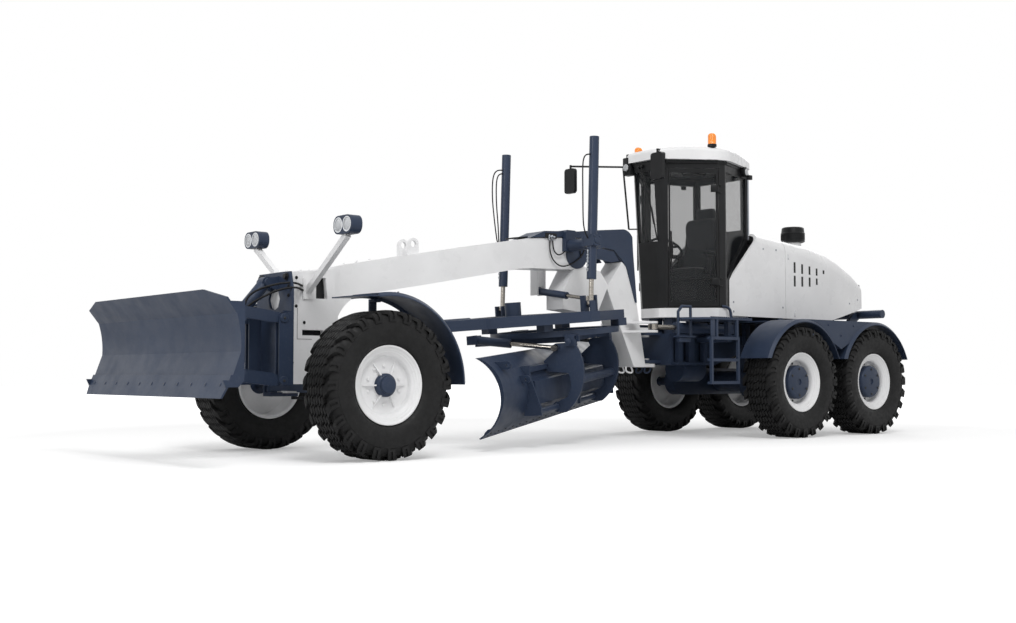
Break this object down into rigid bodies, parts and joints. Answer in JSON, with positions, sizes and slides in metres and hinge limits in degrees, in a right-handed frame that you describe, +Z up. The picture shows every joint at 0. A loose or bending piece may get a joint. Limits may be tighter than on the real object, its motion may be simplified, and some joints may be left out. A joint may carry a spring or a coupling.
{
  "type": "motor grader",
  "caption": "Articulated motor grader with a long curved blade under its arched frame, a front dozer blade, a narrow-nosed cab and a louvred hood.",
  "frame": {"origin": "On the ground, under the middle of the overall length and width", "axes": "+X forward to the front dozer blade, +Y to the machine's left side, +Z up"},
  "size_m": [9.9208, 2.7, 3.484],
  "materials": {
    "blue": "satin paint",
    "white": "satin paint",
    "rim_white": "satin paint",
    "tyre": "matt rubber",
    "cab_black": "satin paint",
    "glass": "tinted clear",
    "beacon": "gloss",
    "iron": "rough",
    "chrome": "polished"
  },
  "bodies": {
    "chassis": {"rear_frame": "blue", "rear_axle": "blue", "engine_block": "iron", "cab_sill": "white", "cab_frame": "cab_black", "cab_glass": "glass", "cab_roof": "white", "cab_interior": "cab_black", "beacons": "beacon", "hood_front": "white", "rear_fenders": "blue", "access_steps": "blue"},
    "hood": {"hood_rear": "white", "precleaner": "cab_black"},
    "left_door": {"door_left": "cab_black", "door_glass_left": "glass"},
    "right_door": {"door_right": "cab_black", "door_glass_right": "glass"},
    "front_chassis": {"front_frame": "white", "nose_box": "white", "frame_leg": "white", "nose_plate": "blue", "lift_saddle": "blue", "lamp_posts": "white", "head_lamps": "cab_black", "front_axle": "blue"},
    "steered_hub_left": {"knuckle_left": "blue"},
    "steered_hub_right": {"knuckle_right": "blue"},
    "track_rod": {"tie_rod": "blue"},
    "wheel_front_left": {"tyre_front_left": "tyre", "rim_front_left": "rim_white"},
    "wheel_front_right": {"tyre_front_right": "tyre", "rim_front_right": "rim_white"},
    "wheel_mid_left": {"tyre_mid_left": "tyre", "rim_mid_left": "rim_white"},
    "wheel_mid_right": {"tyre_mid_right": "tyre", "rim_mid_right": "rim_white"},
    "wheel_rear_left": {"tyre_rear_left": "tyre", "rim_rear_left": "rim_white"},
    "wheel_rear_right": {"tyre_rear_right": "tyre", "rim_rear_right": "rim_white"},
    "art_barrel_left": {"articulation_barrel_left": "blue"},
    "art_barrel_right": {"articulation_barrel_right": "blue"},
    "art_rod_left": {"articulation_rod_left": "chrome"},
    "art_rod_right": {"articulation_rod_right": "chrome"},
    "lifters": {"lift_barrels": "blue"},
    "lifter_rods": {"lift_rods": "chrome"},
    "draft_frame": {"drawbar": "blue"},
    "shifter": {"centre_shift_barrel": "blue"},
    "shifter_rod": {"centre_shift_rod": "chrome"},
    "turntable": {"circle": "blue"},
    "tilt_arms": {"blade_arms": "blue"},
    "blade": {"mouldboard": "blue"},
    "tilters": {"pitch_barrels": "blue"},
    "tilter_rods": {"pitch_rods": "chrome"},
    "dozer_arm": {"dozer_lower_link": "blue"},
    "dozer_guide": {"dozer_upper_link": "blue"},
    "dozer": {"dozer_blade": "blue"},
    "dozer_cylinder": {"dozer_barrel": "blue"},
    "dozer_cylinder_rod": {"dozer_rod": "chrome"}
  },
  "joints": [
    {"name": "wheel_mid_left_spin", "type": "hinge", "parent": "chassis", "child": "wheel_mid_left", "pos_m": [-2.373, 1.017, 0.635], "axis": [0, 1, 0], "continuous": true},
    {"name": "wheel_rear_left_spin", "type": "hinge", "parent": "chassis", "child": "wheel_rear_left", "pos_m": [-3.806, 1.017, 0.635], "axis": [0, 1, 0], "continuous": true},
    {"name": "wheel_mid_right_spin", "type": "hinge", "parent": "chassis", "child": "wheel_mid_right", "pos_m": [-2.373, -1.017, 0.635], "axis": [0, 1, 0], "continuous": true},
    {"name": "wheel_rear_right_spin", "type": "hinge", "parent": "chassis", "child": "wheel_rear_right", "pos_m": [-3.806, -1.017, 0.635], "axis": [0, 1, 0], "continuous": true},
    {"name": "articulation", "type": "hinge", "parent": "chassis", "child": "front_chassis", "pos_m": [-1.0245, 0, 1.03], "axis": [0, 0, -1], "range_deg": [-25, 25]},
    {"name": "art_swing_left", "type": "hinge", "parent": "chassis", "child": "art_barrel_left", "pos_m": [-1.9895, 0.42, 1.25], "axis": [0, 0, -1], "range_deg": [-7, 7]},
    {"name": "art_stroke_left", "type": "slide", "parent": "art_barrel_left", "child": "art_rod_left", "axis": [0.9992, -0.0409, 0], "range_m": [-0.19, 0.19]},
    {"name": "art_swing_right", "type": "hinge", "parent": "chassis", "child": "art_barrel_right", "pos_m": [-1.9895, -0.42, 1.25], "axis": [0, 0, -1], "range_deg": [-7, 7]},
    {"name": "art_stroke_right", "type": "slide", "parent": "art_barrel_right", "child": "art_rod_right", "axis": [0.9992, 0.0409, 0], "range_m": [-0.19, 0.19]},
    {"name": "steer_left", "type": "hinge", "parent": "front_chassis", "child": "steered_hub_left", "pos_m": [3.3095, 0.78, 0.635], "axis": [0, 0, 1], "range_deg": [-35, 35]},
    {"name": "steer_right", "type": "hinge", "parent": "front_chassis", "child": "steered_hub_right", "pos_m": [3.3095, -0.78, 0.635], "axis": [0, 0, 1], "range_deg": [-35, 35]},
    {"name": "track_rod_shift", "type": "slide", "parent": "front_chassis", "child": "track_rod", "axis": [0, -1, 0], "range_m": [-0.13, 0.13]},
    {"name": "wheel_front_left_spin", "type": "hinge", "parent": "steered_hub_left", "child": "wheel_front_left", "pos_m": [3.3095, 1.017, 0.635], "axis": [0, 1, 0], "continuous": true},
    {"name": "wheel_front_right_spin", "type": "hinge", "parent": "steered_hub_right", "child": "wheel_front_right", "pos_m": [3.3095, -1.017, 0.635], "axis": [0, 1, 0], "continuous": true},
    {"name": "blade_lift", "type": "hinge", "parent": "front_chassis", "child": "draft_frame", "pos_m": [3.0305, 0, 1.1], "axis": [0, 1, 0], "range_deg": [-5, 3]},
    {"name": "lifter_swing", "type": "hinge", "parent": "front_chassis", "child": "lifters", "pos_m": [0.4865, 0, 2.095], "axis": [0, -1, 0], "range_deg": [-4, 4]},
    {"name": "lifter_stroke", "type": "slide", "parent": "lifters", "child": "lifter_rods", "axis": [0.0338, 0, -0.9994], "range_m": [-0.14, 0.23]},
    {"name": "shifter_swing", "type": "hinge", "parent": "front_chassis", "child": "shifter", "pos_m": [0.4435, -0.2, 1.626], "axis": [1, 0, 0], "range_deg": [-16, 10]},
    {"name": "shifter_stroke", "type": "slide", "parent": "shifter", "child": "shifter_rod", "axis": [0, 0.9884, -0.1519], "range_m": [-0.05, 0.07]},
    {"name": "circle_turn", "type": "hinge", "parent": "draft_frame", "child": "turntable", "pos_m": [0.37156, 0, 1.17202], "axis": [0.0872, 0, 0.9962], "range_deg": [-8, 97]},
    {"name": "blade_pitch", "type": "hinge", "parent": "turntable", "child": "tilt_arms", "pos_m": [0.18376, 0.3417, 1.11015], "axis": [0.8796, 0.4695, -0.077], "range_deg": [-4, 22]},
    {"name": "tilter_swing", "type": "hinge", "parent": "turntable", "child": "tilters", "pos_m": [0.66489, -0.55626, 1.1313], "axis": [-0.8796, -0.4695, 0.077], "range_deg": [-2, 4]},
    {"name": "tilter_stroke", "type": "slide", "parent": "tilters", "child": "tilter_rods", "axis": [-0.4753, 0.8744, -0.0978], "range_m": [-0.03, 0.08]},
    {"name": "blade_side_shift", "type": "slide", "parent": "tilt_arms", "child": "blade", "axis": [0.8796, 0.4695, -0.077], "range_m": [-0.35, 0.35]},
    {"name": "dozer_lift", "type": "hinge", "parent": "front_chassis", "child": "dozer_arm", "pos_m": [3.8255, 0, 0.671], "axis": [0, -1, 0], "range_deg": [-37, 12]},
    {"name": "dozer_guide_swing", "type": "hinge", "parent": "front_chassis", "child": "dozer_guide", "pos_m": [3.8255, 0, 1.216], "axis": [0, -1, 0], "range_deg": [-37, 12]},
    {"name": "dozer_level", "type": "hinge", "parent": "dozer_arm", "child": "dozer", "pos_m": [4.66916, 0, 0.77459], "axis": [0, -1, 0], "range_deg": [-12, 37]},
    {"name": "dozer_cylinder_swing", "type": "hinge", "parent": "front_chassis", "child": "dozer_cylinder", "pos_m": [3.8455, 0, 1.54], "axis": [0, -1, 0], "range_deg": [-16, 6]},
    {"name": "dozer_cylinder_stroke", "type": "slide", "parent": "dozer_cylinder", "child": "dozer_cylinder_rod", "axis": [0.6525, 0, -0.7578], "range_m": [-0.12, 0.35]},
    {"name": "hood_lift", "type": "hinge", "parent": "chassis", "child": "hood", "pos_m": [-2.9185, 0, 2.362], "axis": [0, 1, 0], "range_deg": [0, 55]},
    {"name": "door_left_swing", "type": "hinge", "parent": "chassis", "child": "left_door", "pos_m": [-1.59725, 0.61319, 2.3], "axis": [0, 0, 1], "range_deg": [0, 75]},
    {"name": "door_right_swing", "type": "hinge", "parent": "chassis", "child": "right_door", "pos_m": [-1.59725, -0.61319, 2.3], "axis": [0, 0, -1], "range_deg": [0, 75]}
  ],
  "couplings": [
    {"joint": "art_swing_left", "follows": "articulation", "ratio": 0.187},
    {"joint": "art_stroke_left", "follows": "articulation", "m_per_rad": 0.3736},
    {"joint": "art_swing_right", "follows": "articulation", "ratio": 0.187},
    {"joint": "art_stroke_right", "follows": "articulation", "m_per_rad": -0.3736},
    {"joint": "steer_right", "follows": "steer_left", "ratio": 1},
    {"joint": "track_rod_shift", "follows": "steer_left", "m_per_rad": 0.188},
    {"joint": "lifter_swing", "follows": "blade_lift", "ratio": 0.587},
    {"joint": "lifter_stroke", "follows": "blade_lift", "m_per_rad": -2.512},
    {"joint": "shifter_swing", "follows": "blade_lift", "ratio": 2.99},
    {"joint": "shifter_stroke", "follows": "blade_lift", "m_per_rad": -0.52},
    {"joint": "tilter_swing", "follows": "blade_pitch", "ratio": 0.13674},
    {"joint": "tilter_stroke", "follows": "blade_pitch", "m_per_rad": 0.09974},
    {"joint": "dozer_guide_swing", "follows": "dozer_lift", "ratio": 1},
    {"joint": "dozer_level", "follows": "dozer_lift", "ratio": -1},
    {"joint": "dozer_cylinder_swing", "follows": "dozer_lift", "ratio": 0.395},
    {"joint": "dozer_cylinder_stroke", "follows": "dozer_lift", "m_per_rad": -0.5208}
  ]
}
